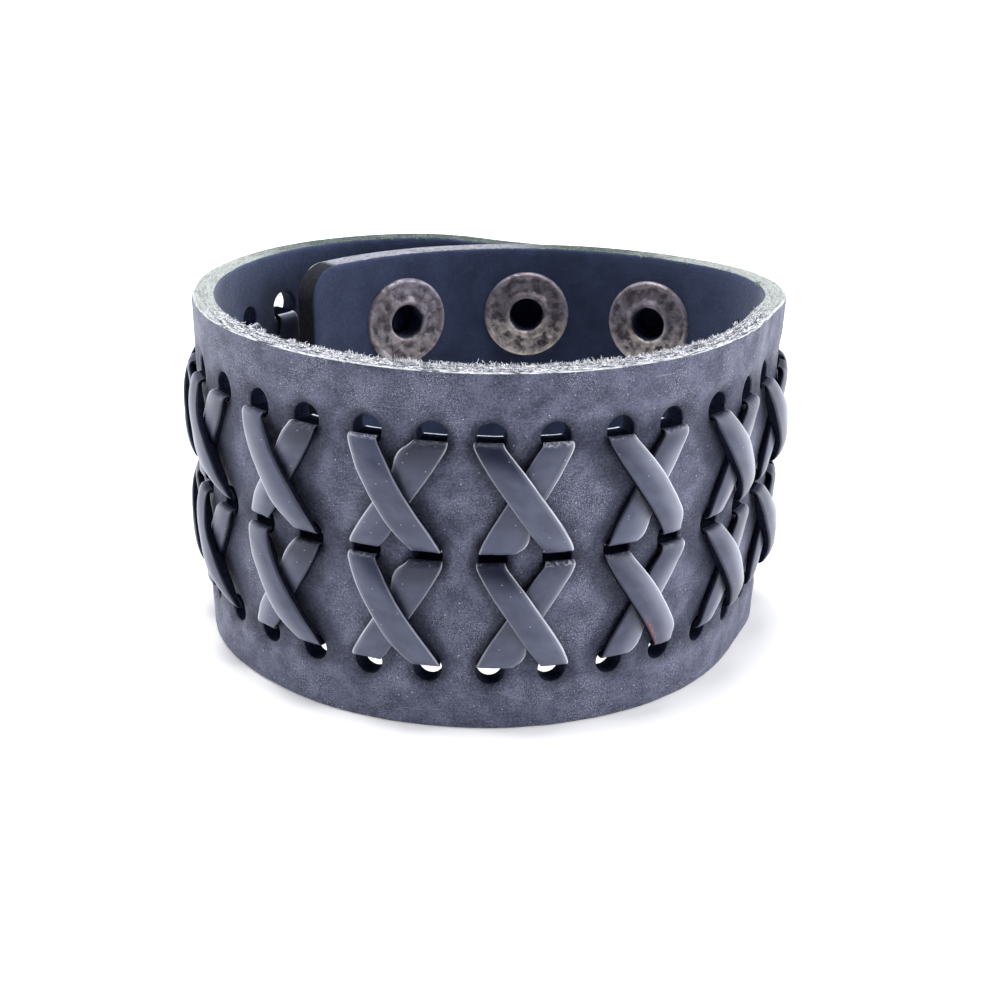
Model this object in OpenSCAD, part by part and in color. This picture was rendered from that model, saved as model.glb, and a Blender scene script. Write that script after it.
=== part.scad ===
// Wide leather cuff bracelet with two rows of crossed lacing, closed at the
// back by press snaps. It stands on its lower edge, the wrist's way through
// runs up, and its front faces -Y. Millimetres.

/* [Strap] */
// Height of the strap, lower edge to upper edge
strap_h = 40; // [36:1:50]
// Thickness of the leather
leather_t = 2.6; // [2.2:0.1:3]
// Outward travel of the wall for each millimetre of height
lean = 0.027; // [0:0.001:0.03]
// Radius of the rounded corners at both strap ends
corner_r = 4; // [2:0.5:6]
// Distance from the front face to the loop's middle
front_y = 29; // [28:0.5:30]

/* [Lacing] */
// Number of holes along one row, two for each cross
hole_count = 20; // [12:2:20]
// Distance between neighbouring holes along the strap
hole_pitch = 6.84; // [6.6:0.02:6.9]
// Distance between the rows of holes
row_pitch = 13.1; // [12.5:0.1:14]
// Diameter of a lacing hole
hole_d = 3.4; // [3.3:0.1:3.8]
// Thickness of a lace
lace_t = 1; // [0.8:0.05:1]
// Width of a lace along the strap, out of its holes
lace_w = 3.85; // [3:0.05:4]
// Width of a lace gathered up in a hole
lace_hole_w = 2; // [1.6:0.1:2]
// How far a lace lies off the middle of its hole
lace_off = 0.74; // [0.7:0.01:0.8]
// Length of a lace end laid down inside the strap
tail_len = 4.4; // [3:0.2:5]

/* [Snaps] */
// Distance of the snaps from the nearer strap edge
snap_edge = 8.4; // [7.5:0.1:10]
// Distance between the snaps along the strap
snap_pitch = 17.2; // [16:0.1:17.5]
// Place of the closed snap along the right side
snap_mid = 93.9; // [93.6:0.1:94.2]
// Distance of the closed snap from the outer end of the strap
socket_edge = 6.5; // [6.4:0.05:6.7]
// Diameter of the eyelet's ring
ring_d = 10.7; // [9.6:0.1:11]
// Diameter of the hole in the eyelet
bore_d = 4.1; // [3.6:0.1:4.3]
// Diameter of the cap on the outer end
cap_d = 12.5; // [11:0.5:13]

/* [Hidden] */
$fn = 96;
clear = 0.05;
lean_angle = atan(lean);
pad_l = 0.8;
pad_proud = 0.02;
blunt = 0.15;

// Plan of the loop as tangent arcs, from the front round to each strap end:
// length of the outer face in millimetres, turn in degrees. Laced arcs meet
// midway between two holes.
right_side = [
  [6 * hole_pitch, 71],
  [hole_pitch, -1.5],
  [3 * hole_pitch, 74.5],
  [57.7, 93]];
left_side = [
  [5 * hole_pitch, 58.3],
  [5 * hole_pitch, 71.3],
  [25.6, 54.3],
  [14.4, -2.7]];
LENGTH = 0;
TURN = 1;

// What centres the whole on its own box.
centre_x = -0.84;
centre_y = 0.57;

// Rows of lacing holes, top to bottom.
row_z = [strap_h / 2 + row_pitch, strap_h / 2, strap_h / 2 - row_pitch];
first_hole = -(hole_count - 1) / 2 * hole_pitch;

// Snaps: through hole, pressed-in seats, and the pieces riveted to them.
shank_d = bore_d + 0.9;
snap_z = [strap_h - snap_edge, snap_edge];
stud_base_d = 9;
stud_base_t = 0.45;
stud_seat = stud_base_t + clear;
stud_post_d = 6;
stud_post_h = 1;
shank_reach = 0.55;
eyelet_seat = 0.1;
socket_d = 9.8;
socket_bore_d = 7.2;
socket_t = 1;
socket_seat = 0.8;
stem_d = 3;
stem_head_d = 4;
stem_head_t = 0.25;
cap_t = 1.6;
cap_rim_t = 0.5;
cap_gap = 0.12;

// Plan of a side: where each arc starts, which way it heads, how it bends.
function arc_radius(row) = row[LENGTH] / (row[TURN] * PI / 180);
function heading_before(side, i) = i == 0 ? 0 : heading_before(side, i - 1) + side[i - 1][TURN];
function length_before(side, i) = i == 0 ? 0 : length_before(side, i - 1) + side[i - 1][LENGTH];
function out_of(heading) = [sin(heading), -cos(heading)];
function arc_start(side, i) = i == 0 ? [0, -front_y]
  : arc_centre(side, i - 1) + arc_radius(side[i - 1]) * out_of(heading_before(side, i));
function arc_centre(side, i) =
  arc_start(side, i) - arc_radius(side[i]) * out_of(heading_before(side, i));
function arc_at(side, s, i = 0) =
  i == len(side) - 1 || s < length_before(side, i + 1) ? i : arc_at(side, s, i + 1);
function heading_at(side, s) = let (i = arc_at(side, s))
  heading_before(side, i) + side[i][TURN] * (s - length_before(side, i)) / side[i][LENGTH];
function plan_at(side, s) = let (i = arc_at(side, s))
  arc_centre(side, i) + arc_radius(side[i]) * out_of(heading_at(side, s));
function side_length(side) = length_before(side, len(side));

// Outward shift of the leaning outer face at a height.
function lean_at(z) = -lean * (strap_h - z);

// A point near the strap: s along it from the front (negative to the left,
// which is drawn as a right side and mirrored), z up, rise off the outer face.
function near_side(side, s, z, rise) =
  let (p = plan_at(side, s) + (rise + lean_at(z)) * out_of(heading_at(side, s)))
  [p[0], p[1], z];
function near_strap(s, z, rise) = s >= 0 ? near_side(right_side, s, z, rise)
  : let (p = near_side(left_side, -s, z, rise)) [-p[0], p[1], p[2]];

// Children stand on the outer face: X along the strap, Y up, Z outward.
module on_side(side, s, z)
  translate(near_side(side, s, z, 0))
    rotate([90, 0, heading_at(side, s)])
      rotate([lean_angle, 0, 0])
        children();

// Section of the leaning wall, X outward from the outer face's upper edge.
// A bend of -1 turns it round, for an arc whose centre lies outside the loop.
module wall_section(bend = 1, proud = 0)
  polygon([
    [bend * (lean_at(0) + proud), 0],
    [bend * proud, strap_h],
    [-bend * (leather_t + proud), strap_h],
    [bend * (lean_at(0) - leather_t - proud), 0]]);

// One arc of the wall: its section turned about the arc's centre.
module wall_arc(side, i) {
  radius = abs(arc_radius(side[i]));
  bend = sign(side[i][TURN]);
  centre = arc_centre(side, i);
  first = heading_before(side, i) - 90 + (bend > 0 ? 0 : 180 + side[i][TURN]);
  translate([centre[0], centre[1], 0])
    rotate(first)
      rotate_extrude(angle = abs(side[i][TURN]))
        translate([radius, 0]) wall_section(bend);
}

// A pad over the place where an arc starts joins it to the one before.
module joint_pad(side, i) {
  start = arc_start(side, i);
  translate([start[0], start[1], 0])
    rotate([90, 0, heading_before(side, i)])
      rotate([0, -90, 0])
        linear_extrude(pad_l, center = true)
          wall_section(proud = pad_proud);
}

// What rounds the two corners of a side's end. Its circle reaches a little
// past both edges, so that it crosses them instead of only touching.
module end_corners(side) {
  past = 1;
  for (top = [0, 1])
    on_side(side, side_length(side), top * strap_h)
      mirror([0, top, 0])
        translate([blunt - corner_r, -blunt, -leather_t * 2])
          linear_extrude(leather_t * 4)
            difference() {
              translate([0, -past]) square([corner_r + past, corner_r + past]);
              translate([0, corner_r]) circle(corner_r);
            }
}

// A straight hole through the strap, along its normal.
module through(d) translate([0, 0, -leather_t * 1.5]) cylinder(d = d, h = leather_t * 2.5);

module side_wall(side)
  difference() {
    union() for (i = [0 : len(side) - 1]) {
      wall_arc(side, i);
      if (i > 0) joint_pad(side, i);
    }
    end_corners(side);
    for (k = [0 : hole_count / 2 - 1], z = row_z)
      on_side(side, (k + 0.5) * hole_pitch, z) through(hole_d);
  }

// Places of the snap pieces: i from -1 to 1 along the right side, where 0 is
// the closed one, and the one place on the outer end of the left side.
module at_snap(i, z) on_side(right_side, snap_mid + i * snap_pitch, z) children();
module at_socket(z) mirror([1, 0, 0])
  on_side(left_side, side_length(left_side) - socket_edge, z) children();

module band()
  color("#3d4150")
    in_frame() union() {
      joint_pad(right_side, 0);
      difference() {
        side_wall(right_side);
        for (i = [-1 : 1], z = snap_z) at_snap(i, z) {
          through(shank_d + 2 * clear);
          translate([0, 0, -stud_seat]) cylinder(d = stud_base_d + 2 * clear, h = leather_t);
          translate([0, 0, -2 * leather_t + eyelet_seat])
            cylinder(d = ring_d + 2 * clear, h = leather_t);
        }
      }
      difference() {
        mirror([1, 0, 0]) side_wall(left_side);
        for (z = snap_z) at_socket(z) {
          through(stem_d + 2 * clear);
          translate([0, 0, -2 * leather_t + socket_seat])
            cylinder(d = socket_d + 2 * clear, h = leather_t);
        }
      }
    }

// Half of a lace's way between two holes, from the first hole to its middle:
// travel up or down, height of its middle over the leather, share of its width.
TRAVEL = 0;
RISE = 1;
SHARE = 2;
lying = lace_t / 2 + 0.15;
under_half = [
  [0, -0.2, 0],
  [0.2, lying - 0.04, 0.15],
  [0.95, lying, 0.65],
  [2, lying, 1]];
over_half = [
  [0, -0.2, 0],
  [0.2, lying + 0.05, 0.15],
  [0.8, lying + 0.75, 0.65],
  [1.85, lying + lace_t + 0.07, 1]];

// A lace's way. At each hole it stands at its end of the row it belongs to.
function is_top(i, over) = (i % 2 == 0) == over;
function hole_s(i) = first_hole + i * hole_pitch;
function level(i, row, over) = is_top(i, over) ? row_z[row] - lace_off : row_z[row + 1] + lace_off;
function width_at(share) = lace_hole_w + (lace_w - lace_hole_w) * share;
function off_face(rise, outside) = outside ? rise : -leather_t - rise;

// Stations are [s, z, rise, width].
function station(from, to, row, over, step, outside) =
  let (z0 = level(from, row, over), z1 = level(to, row, over), part = step[TRAVEL] / abs(z1 - z0))
  [hole_s(from) + (hole_s(to) - hole_s(from)) * part, z0 + (z1 - z0) * part,
   off_face(step[RISE], outside), width_at(step[SHARE])];
function in_hole(i, row, over) = [hole_s(i), level(i, row, over), -leather_t / 2, lace_hole_w];
function half_way(over) = let (steps = over ? over_half : under_half)
  concat(steps, [[row_pitch / 2 - lace_off, steps[len(steps) - 1][RISE] + (over ? 0.08 : 0), 1]]);
function leg(i, row, over) =
  let (steps = half_way(over), last = len(steps) - 1, outside = i % 2 == 0)
  concat(
    [for (k = [0 : last]) station(i, i + 1, row, over, steps[k], outside)],
    [for (k = [last - 1 : -1 : 0]) station(i + 1, i, row, over, steps[k], outside)],
    [in_hole(i + 1, row, over)]);
function tail(i, row, over) =
  let (z0 = level(i, row, over), way = is_top(i, over) ? -1 : 1)
  [for (step = concat(under_half, [[tail_len, lying, 1]]))
    [hole_s(i), z0 + way * step[TRAVEL], off_face(step[RISE], false), width_at(step[SHARE])]];
function reversed(list) = [for (k = [len(list) - 1 : -1 : 0]) list[k]];
function lace_way(row, over) = let (last = hole_count - 1)
  concat(
    reversed(tail(0, row, over)),
    [in_hole(0, row, over)],
    [for (i = [0 : last - 1]) each leg(i, row, over)],
    tail(last, row, over));

// Corners of the flat lace at one station, square to its way in (z, rise).
function unit2(v) = v / norm(v);
function corners(way, k) =
  let (
    a = way[max(k - 1, 0)],
    b = way[min(k + 1, len(way) - 1)],
    here = way[k],
    along = unit2([b[1] - a[1], b[2] - a[2]]),
    side = [-along[1], along[0]] * lace_t / 2)
  [for (c = [[-1, -1], [1, -1], [1, 1], [-1, 1]])
    near_strap(here[0] + c[0] * here[3] / 2, here[1] + c[1] * side[0], here[2] + c[1] * side[1])];

module lace(row, over) {
  way = lace_way(row, over);
  count = len(way);
  n = 4;
  // Both broad faces are split along their shorter diagonal, to lie close.
  skin = [for (k = [0 : count - 2], j = [0 : n - 1], half = [0, 1])
    let (a = k * n + j, b = k * n + (j + 1) % n, c = a + n, d = b + n)
    j == 0 ? (half == 0 ? [a, b, c] : [b, d, c]) : (half == 0 ? [a, b, d] : [a, d, c])];
  ends = [[3, 2, 1, 0], [for (j = [0 : n - 1]) (count - 1) * n + j]];
  color(over ? "#4a4e5c" : "#434754")
    in_frame() polyhedron([for (k = [0 : count - 1]) each corners(way, k)], concat(skin, ends));
}

module upper_lace_over() lace(0, true);
module upper_lace_under() lace(0, false);
module lower_lace_over() lace(1, true);
module lower_lace_under() lace(1, false);

// Snap pieces, drawn on the outer face with Z outward.
module eyelet_shape() {
  face = -leather_t + eyelet_seat - clear;
  rotate_extrude()
    polygon([
      [bore_d / 2, face - 0.75],
      [bore_d / 2 + 0.25, face - 1],
      [bore_d / 2 + 0.85, face - 1],
      [bore_d / 2 + 1.15, face - 0.55],
      [ring_d / 2 - 1.2, face - 0.5],
      [ring_d / 2 - 0.85, face - 0.8],
      [ring_d / 2 - 0.35, face - 0.8],
      [ring_d / 2, face - 0.4],
      [ring_d / 2, face],
      [shank_d / 2, face],
      [shank_d / 2, shank_reach],
      [bore_d / 2, shank_reach]]);
}

module stud_shape() {
  wall = 0.25;
  rotate_extrude()
    polygon([
      [shank_d / 2 + clear, clear - stud_seat],
      [stud_base_d / 2, clear - stud_seat],
      [stud_base_d / 2, 0],
      [stud_post_d / 2 - wall, 0],
      [stud_post_d / 2 - wall, stud_post_h * 0.3],
      [stud_post_d / 2, stud_post_h * 0.6],
      [stud_post_d / 2 - wall, stud_post_h],
      [0, stud_post_h],
      [0, shank_reach + clear],
      [shank_d / 2 + clear, shank_reach + clear]]);
}

module socket_shape()
  translate([0, 0, -leather_t + socket_seat - clear])
    mirror([0, 0, 1])
      difference() {
        cylinder(d = socket_d, h = socket_t);
        translate([0, 0, -1]) cylinder(d = socket_bore_d, h = socket_t + 2);
      }

module cap_shape() {
  dome_w = cap_d / 2 - 0.4;
  head_z = -leather_t + socket_seat - clear;
  rotate_extrude()
    polygon([
      [0, cap_t],
      [dome_w * 0.4, cap_t - 0.1],
      [dome_w * 0.75, cap_t - 0.4],
      [dome_w, cap_rim_t + 0.3],
      [cap_d / 2, cap_rim_t],
      [cap_d / 2, cap_gap],
      [stem_d / 2, cap_gap],
      [stem_d / 2, head_z],
      [stem_head_d / 2, head_z],
      [stem_head_d / 2, head_z - stem_head_t],
      [0, head_z - stem_head_t]]);
}

metal = "#8a6a58";
module on_snap(i, row) color(metal) in_frame() at_snap(i, snap_z[row]) children();
module on_socket(row) color(metal) in_frame() at_socket(snap_z[row]) children();

module in_frame() translate([centre_x, centre_y, 0]) children();

// Snaps 1 to 3 run from the right round the back; 2 is the closed one.
module top_eyelet_1() on_snap(-1, 0) eyelet_shape();
module top_eyelet_2() on_snap(0, 0) eyelet_shape();
module top_eyelet_3() on_snap(1, 0) eyelet_shape();
module low_eyelet_1() on_snap(-1, 1) eyelet_shape();
module low_eyelet_2() on_snap(0, 1) eyelet_shape();
module low_eyelet_3() on_snap(1, 1) eyelet_shape();
module top_stud_1() on_snap(-1, 0) stud_shape();
module top_stud_2() on_snap(0, 0) stud_shape();
module top_stud_3() on_snap(1, 0) stud_shape();
module low_stud_1() on_snap(-1, 1) stud_shape();
module low_stud_2() on_snap(0, 1) stud_shape();
module low_stud_3() on_snap(1, 1) stud_shape();
module top_socket() on_socket(0) socket_shape();
module low_socket() on_socket(1) socket_shape();
module top_cap() on_socket(0) cap_shape();
module low_cap() on_socket(1) cap_shape();

band();
upper_lace_over();
upper_lace_under();
lower_lace_over();
lower_lace_under();
top_eyelet_1();
top_eyelet_2();
top_eyelet_3();
low_eyelet_1();
low_eyelet_2();
low_eyelet_3();
top_stud_1();
top_stud_2();
top_stud_3();
low_stud_1();
low_stud_2();
low_stud_3();
top_socket();
low_socket();
top_cap();
low_cap();
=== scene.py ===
import math
import random
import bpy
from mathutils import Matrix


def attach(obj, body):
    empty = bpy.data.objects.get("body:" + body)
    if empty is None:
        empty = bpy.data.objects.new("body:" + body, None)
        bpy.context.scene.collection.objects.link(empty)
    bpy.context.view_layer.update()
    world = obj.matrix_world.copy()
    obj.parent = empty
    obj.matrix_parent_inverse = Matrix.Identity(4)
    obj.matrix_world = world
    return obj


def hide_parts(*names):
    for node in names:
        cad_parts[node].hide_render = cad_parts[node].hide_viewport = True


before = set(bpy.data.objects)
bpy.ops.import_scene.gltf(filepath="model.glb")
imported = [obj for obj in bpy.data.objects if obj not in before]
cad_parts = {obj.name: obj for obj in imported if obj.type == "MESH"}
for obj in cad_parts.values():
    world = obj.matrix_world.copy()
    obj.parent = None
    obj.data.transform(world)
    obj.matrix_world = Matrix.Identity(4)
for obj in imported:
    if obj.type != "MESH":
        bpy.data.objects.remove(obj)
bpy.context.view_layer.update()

from types import SimpleNamespace

import bpy
import numpy as np
from mathutils import Matrix, Vector, kdtree, noise
from mathutils.geometry import delaunay_2d_cdt

# Everything below is worked out in millimetres and turned to metres in newPiece.
mm = 0.001

strap = {
    "height": 40.0,
    "thick": 2.6,
    "lean": 0.027,          # outward travel of the wall for each millimetre of height
    "cornerRadius": 4.0,
    "frontY": 29.0,
    "centre": (-0.84, 0.57),
    # the loop from the front to each strap end: length of each arc, its turn in degrees
    "rightArcs": [(41.04, 71.0), (6.84, -1.5), (20.52, 74.5), (57.7, 93.0)],
    "leftArcs": [(34.2, 58.3), (34.2, 71.3), (25.6, 54.3), (14.4, -2.7)],
}
rightLength = sum(length for length, turn in strap["rightArcs"])
leftLength = sum(length for length, turn in strap["leftArcs"])

lacing = {
    "holes": 20,
    "pitch": 6.84,
    "rows": (33.1, 20.0, 6.9),      # heights of the three rows of holes
    "holeRadius": 1.56,
    "wideHole": 1.95,       # the one that shows daylight at the back left
    "thick": 0.86,
    "seat": 1.08,           # how far the lace's middle lies off the middle of its hole
    "tail": 4.4,            # how far a lace's end runs on along the inner face
    "raw": (20.5, 10.0),    # where one lace is split raw
    # how far holes were punched off their even places: in the upper row, and in every row
    "upperOff": {8: 0.3, 9: 0.4, 10: -0.45, 11: -0.7, 12: -0.4, 13: -0.9, 14: -0.4, 15: -0.5, 16: -0.9,
                 17: -0.5},
    "columnOff": {0: -1.4, 1: -0.7, 8: 0.1, 18: -2.5, 19: -3.4},
}
firstHole = -(lacing["holes"] - 1) / 2 * lacing["pitch"]


def holeAt(i, row):
    off = lacing["columnOff"].get(i, 0) + (lacing["upperOff"].get(i, 0) if row == 0 else 0)
    return firstHole + i * lacing["pitch"] + off


snaps = {
    "places": (76.7, 93.9, 111.1),   # along the right side
    "heights": (31.6, 8.4),
    "socketPlace": leftLength - 6.5,
    "eyeletRadius": 5.35,
    "boreRadius": 2.05,
    "rubbed": 0.62,                  # how far caps and studs are polished bare
    "lowerLight": (0.75, 1.0, 0.35),  # painted reflection of the white card: how pale the lower half of each ring is
    "capRadius": 6.25,
    "socketDepth": 0.75,             # how far the socket is let into the inner face
}


# Plan of the strap.

def planAlong(arcs, run):
    # where the outer face stands, and its heading, run mm from the front
    x, y, head = np.zeros_like(run), np.zeros_like(run), np.zeros_like(run)
    startX, startY, start, turned = 0.0, -strap["frontY"], 0.0, 0.0
    for length, turn in arcs:
        bend = math.radians(turn) / length
        middleX = startX - math.sin(turned) / bend
        middleY = startY + math.cos(turned) / bend
        here = run >= start
        h = turned + bend * (run - start)
        x = np.where(here, middleX + np.sin(h) / bend, x)
        y = np.where(here, middleY - np.cos(h) / bend, y)
        head = np.where(here, h, head)
        turned += math.radians(turn)
        start += length
        startX = middleX + math.sin(turned) / bend
        startY = middleY - math.cos(turned) / bend
    return x, y, head


def strapPoint(s, z, rise):
    # s along the strap from the front, minus to the left; rise off the outer face
    s, z, rise = np.broadcast_arrays(*(np.asarray(v, float) for v in (s, z, rise)))
    right = s >= 0
    rx, ry, rh = planAlong(strap["rightArcs"], np.abs(s))
    lx, ly, lh = planAlong(strap["leftArcs"], np.abs(s))
    x, y, head = np.where(right, rx, lx), np.where(right, ry, ly), np.where(right, rh, lh)
    off = rise - strap["lean"] * (strap["height"] - z)
    x = np.where(right, 1, -1) * (x + off * np.sin(head)) + strap["centre"][0]
    y = y - off * np.cos(head) + strap["centre"][1]
    return np.stack([x, y, z], -1)


def strapFrame(s, z):
    # a frame on the outer face: X along the strap, Y up it, Z outward
    here = strapPoint(s, z, 0.0)
    outward = Vector(strapPoint(s, z, 1.0) - here).normalized()
    up = Vector(strapPoint(s, z + 1, 0.0) - here).normalized()
    outward = (outward - up * outward.dot(up)).normalized()
    along = up.cross(outward)
    turn = Matrix((along, up, outward)).transposed().to_4x4()
    return Matrix.Translation(Vector(here)) @ turn


def soft(low, high, value):
    t = np.clip((value - low) / (high - low), 0, 1)
    return t * t * (3 - 2 * t)


def lumps(points, size, seed=0.0):
    # smooth noise, about -0.6 to 0.6, with lumps of size mm
    shift = Vector((seed, seed * 0.7, 3.1))
    return np.array([noise.noise(Vector(p) / size + shift) for p in points])


# Nodes and materials.

def colour(code):
    # sRGB hex to linear
    parts = [int(code[i:i + 2], 16) / 255 for i in (1, 3, 5)]
    line = [c / 12.92 if c <= 0.04045 else ((c + 0.055) / 1.055) ** 2.4 for c in parts]
    return (*line, 1.0)


def feed(tree, socket, source):
    # links a node or a socket, sets a hex colour or a plain value; None leaves the default
    if isinstance(source, bpy.types.Node):
        source = next(out for out in source.outputs if out.enabled)
    if isinstance(source, bpy.types.NodeSocket):
        tree.links.new(source, socket)
    elif source is not None:
        socket.default_value = colour(source) if isinstance(source, str) else source


def addNode(tree, kind, *sources, **settings):
    # the sources go to the inputs that the node shows, in their order: for noise place, scale,
    # detail, roughness, lacunarity and distortion; for a range the value, from low and high,
    # to low and high; for a bump strength, distance, filter width, height and normal
    node = tree.nodes.new("ShaderNode" + kind)
    for key, value in settings.items():
        setattr(node, key, value)
    for socket, source in zip([s for s in node.inputs if s.enabled], sources):
        feed(tree, socket, source)
    return node


smooth = {"interpolation_type": "SMOOTHSTEP"}


def newMaterial(name, **fixed):
    material = bpy.data.materials.new(name)
    material.use_nodes = True
    tree = material.node_tree
    shader = tree.nodes["Principled BSDF"]
    for key, value in fixed.items():
        feed(tree, shader.inputs[key.replace("_", " ")], value)
    return material, tree, shader


def placeIn(tree, size, stretch=(1, 1, 1), shift=0.0):
    # where a point lies on its piece, counted in lumps of size mm that stretch draws out
    place = addNode(tree, "Attribute", attribute_name="place").outputs["Vector"]
    return addNode(tree, "VectorMath", place, [1 / (size * k) for k in stretch],
                   (shift, shift * 0.37, shift * 1.7), operation="MULTIPLY_ADD")


def layerOf(tree, name):
    # the three values that a piece's points carry under this name
    layer = addNode(tree, "Attribute", attribute_name=name).outputs["Vector"]
    return addNode(tree, "SeparateXYZ", layer).outputs


def twoTones(tree, pattern, low, high, tones):
    # the first tone where the pattern is below low, the second where it is above high
    share = addNode(tree, "MapRange", pattern, low, high, **smooth)
    return addNode(tree, "Mix", share, *tones, data_type="RGBA")


def fadedBy(tree, share, pattern, low, high, least=0.0, most=1.0):
    # a share times a soft ramp of a pattern: least where it is low, most where it is high
    ramp = addNode(tree, "MapRange", pattern, low, high, least, most, **smooth)
    return addNode(tree, "Math", share, ramp, operation="MULTIPLY")


def layTones(tree, base, look, layers):
    # lays named tones over a base, each by its own share
    for name, share in layers.items():
        base = addNode(tree, "Mix", share, base, look[name], data_type="RGBA")
    return base


def flecksAt(tree, spacing, radius, share, seed):
    # small spots, in a share of the cells that are spacing mm apart
    place = addNode(tree, "Attribute", attribute_name="place").outputs["Vector"]
    scaled = addNode(tree, "VectorMath", place, (1 / spacing,) * 3, (seed,) * 3, operation="MULTIPLY_ADD")
    cells = addNode(tree, "TexVoronoi", scaled, 1.0, voronoi_dimensions="2D")
    spot = addNode(tree, "MapRange", cells, radius / spacing, radius / spacing * 0.45, **smooth)
    picked = addNode(tree, "SeparateColor", cells.outputs["Color"])
    chosen = addNode(tree, "Math", picked, share, operation="LESS_THAN")
    return addNode(tree, "Math", spot, chosen, operation="MULTIPLY")


leatherLook = {
    "dark": "#2a2d3e", "light": "#5d6075", "worn": "#a6a8b8", "scratch": "#9a9eac", "fleck": "#c9ccd6",
    # the next two tones are painted shade: shadow beside the laces, and shade in the dents round the lace
    # holes
    "shaded": "#14182b", "pressed": "#0e1122", "gloss": "#d9dcee", "sheen": "#b9bdd0",
    "mottle": 2.8, "nap": 0.3, "fineNap": 0.13,      # mm
    "roughness": 0.6,
}


def nubuckScuffs(tree, fine):
    # patches where the nap is rubbed up pale, as between the middle crosses
    patch = addNode(tree, "TexNoise", placeIn(tree, 5.5, shift=31.0), 1.0, 2.0, 0.55)
    patch = addNode(tree, "MapRange", patch, 0.48, 0.62, **smooth)
    rubbed = fadedBy(tree, patch, fine, 0.56, 0.68, 0.0, 0.55)
    # hairline scuffs along the strap, and dust
    scuff = addNode(tree, "TexNoise", placeIn(tree, 0.9, (5, 0.12, 1), 21.0), 1.0, 2.0, 0.55, None, 0.6)
    scuff = addNode(tree, "MapRange", scuff, 0.66, 0.76, 0.0, 0.4, **smooth)
    spots = addNode(tree, "Math", flecksAt(tree, 1.7, 0.09, 0.12, 3.0),
                    flecksAt(tree, 0.8, 0.06, 0.1, 11.0), operation="MAXIMUM")
    spots = addNode(tree, "Math", spots, 0.75, operation="MULTIPLY")
    return {"worn": rubbed, "scratch": scuff, "fleck": spots}


def nubuckShade(tree, nap):
    # painted shade: darkest in the dent where a lace hole presses it in, less so as painted shadow beside
    # the laces
    pressed, shaded, _ = layerOf(tree, "wear")
    return {"shaded": fadedBy(tree, shaded, nap, 0.3, 0.6, 0.9, 0.65),
            "pressed": fadedBy(tree, pressed, nap, 0.3, 0.6, 0.95, 0.65)}


def oiledNubuck():
    # drum-dyed nubuck, waxed: a matt slate face whose sanded nap shows as soft cloud and
    # grain, with pale hairline scuffs and dust flecks
    look = leatherLook
    material, tree, shader = newMaterial("oiledNubuckFace", Sheen_Weight=0.42, Sheen_Roughness=0.32,
                                         Sheen_Tint=look["sheen"], Specular_Tint=look["gloss"])
    cloud = addNode(tree, "TexNoise", placeIn(tree, look["mottle"]), 1.0, 5.0, 0.62)
    # nap is finer than this on the real face; drawn at a third of a millimetre so it shows
    nap = addNode(tree, "TexNoise", placeIn(tree, look["nap"], shift=7.0), 1.0, 2.5, 0.55)
    fine = addNode(tree, "TexNoise", placeIn(tree, look["fineNap"], shift=17.0), 1.0, 1.0, 0.55)
    mix = addNode(tree, "Math", cloud, 0.4, operation="MULTIPLY")
    mix = addNode(tree, "Math", nap, 0.3, mix, operation="MULTIPLY_ADD")
    mix = addNode(tree, "Math", fine, 0.3, mix, operation="MULTIPLY_ADD")
    base = twoTones(tree, mix, 0.38, 0.63, (look["dark"], look["light"]))
    base = layTones(tree, base, look, {**nubuckScuffs(tree, fine), **nubuckShade(tree, nap)})
    feed(tree, shader.inputs["Base Color"], base)
    feed(tree, shader.inputs["Roughness"], addNode(
        tree, "MapRange", cloud, 0.3, 0.7, look["roughness"] + 0.08, look["roughness"] - 0.07, **smooth))
    bumps = addNode(tree, "Math", fine, 0.5, nap, operation="MULTIPLY_ADD")
    bumps = addNode(tree, "Bump", 1.0, 0.06 * mm, None, bumps)
    bumps = addNode(tree, "Bump", 1.0, 0.12 * mm, None, cloud, bumps)
    feed(tree, shader.inputs["Normal"], bumps)
    return material


fleshLook = {"dark": "#242d45", "light": "#303b56", "fibre": "#4c586c", "gloss": "#aab4e6"}


def fleshSide():
    # the split side of the hide, dyed through: dark blue-green suede with short loose fibres
    look = fleshLook
    material, tree, shader = newMaterial("dyedFleshSide", Roughness=0.88, Sheen_Weight=0.25,
                                         Sheen_Roughness=0.5, Specular_Tint=look["gloss"])
    cloud = addNode(tree, "TexNoise", placeIn(tree, 4.0, shift=2.0), 1.0, 4.0, 0.55)
    fibre = addNode(tree, "TexNoise", placeIn(tree, 0.45, (2.2, 1, 1), 5.0), 1.0, 4.0, 0.65, None, 0.8)
    base = twoTones(tree, cloud, 0.3, 0.7, (look["dark"], look["light"]))
    loose = addNode(tree, "MapRange", fibre, 0.55, 0.8, 0.0, 0.3, **smooth)
    feed(tree, shader.inputs["Base Color"], layTones(tree, base, look, {"fibre": loose}))
    feed(tree, shader.inputs["Normal"], addNode(tree, "Bump", 1.0, 0.12 * mm, None, fibre))
    return material


edgeLook = {
    # on the tufts, and between them
    "front": ("#eceef5", "#484c59"), "bend": ("#b6bbb9", "#989f9c"), "back": ("#65726e", "#333e3c"),
    # the upright tones are painted shade on the end faces; the lip tone below is a painted highlight
    "flap": ("#a9a9b4", "#7b7d87"), "upright": ("#0f1323", "#080b16"),
    "lip": "#d3dada", "fissure": "#23262f",
}


def edgeTone(tree, k, away, along, up):
    # tone k of each part in turn: front, bends, back, flap and the upright ends
    tone = edgeLook["front"][k]
    for reach, start, end, part in (
            (away, 38.0, 50.0, "bend"), (away, 68.0, 84.0, "back"), (along, 88.0, 100.0, "flap"),
            (along, 121.2, 122.6, "upright"), (up, 39.0, 38.6, "upright")):
        share = addNode(tree, "MapRange", reach, start, end, **smooth)
        tone = addNode(tree, "Mix", share, tone, edgeLook[part][k], data_type="RGBA")
    return tone


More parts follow.
